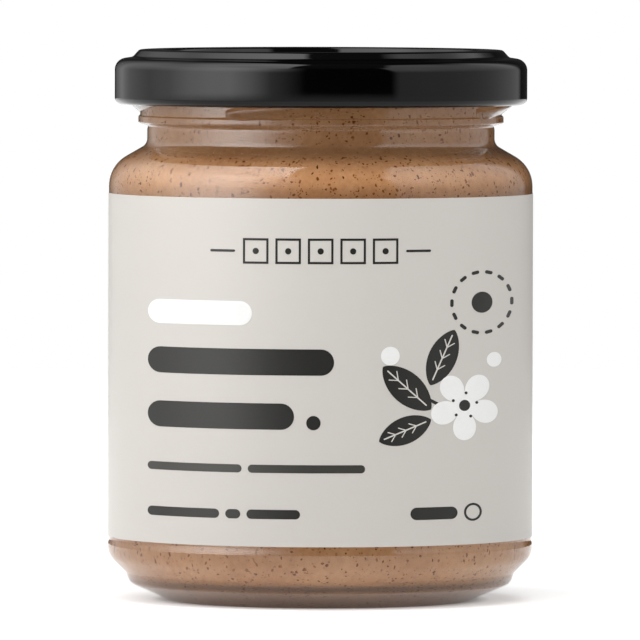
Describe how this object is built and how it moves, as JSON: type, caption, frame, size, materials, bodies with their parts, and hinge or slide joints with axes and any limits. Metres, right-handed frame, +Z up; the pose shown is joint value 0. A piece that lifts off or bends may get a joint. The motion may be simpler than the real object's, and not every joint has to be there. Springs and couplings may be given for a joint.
{
  "type": "almond butter jar",
  "caption": "Clear round glass jar filled with speckled almond butter, closed by a black twist-off lug lid, with a pale paper label round its body.",
  "frame": {"origin": "on the jar's axis at the level of the foot it stands on", "axes": "+Z up along the jar's axis, -Y towards the front of the label, +X to the right of the label as it is read"},
  "size_m": [0.0694, 0.0692, 0.0895],
  "materials": {
    "clear_glass": "polished",
    "almond_butter": "satin",
    "black_lacquer": "gloss",
    "label_paper": "matte"
  },
  "bodies": {
    "root": {"glass_jar": "clear_glass", "almond_butter": "almond_butter", "lid": "black_lacquer", "paper_label": "label_paper"}
  },
  "joints": []
}
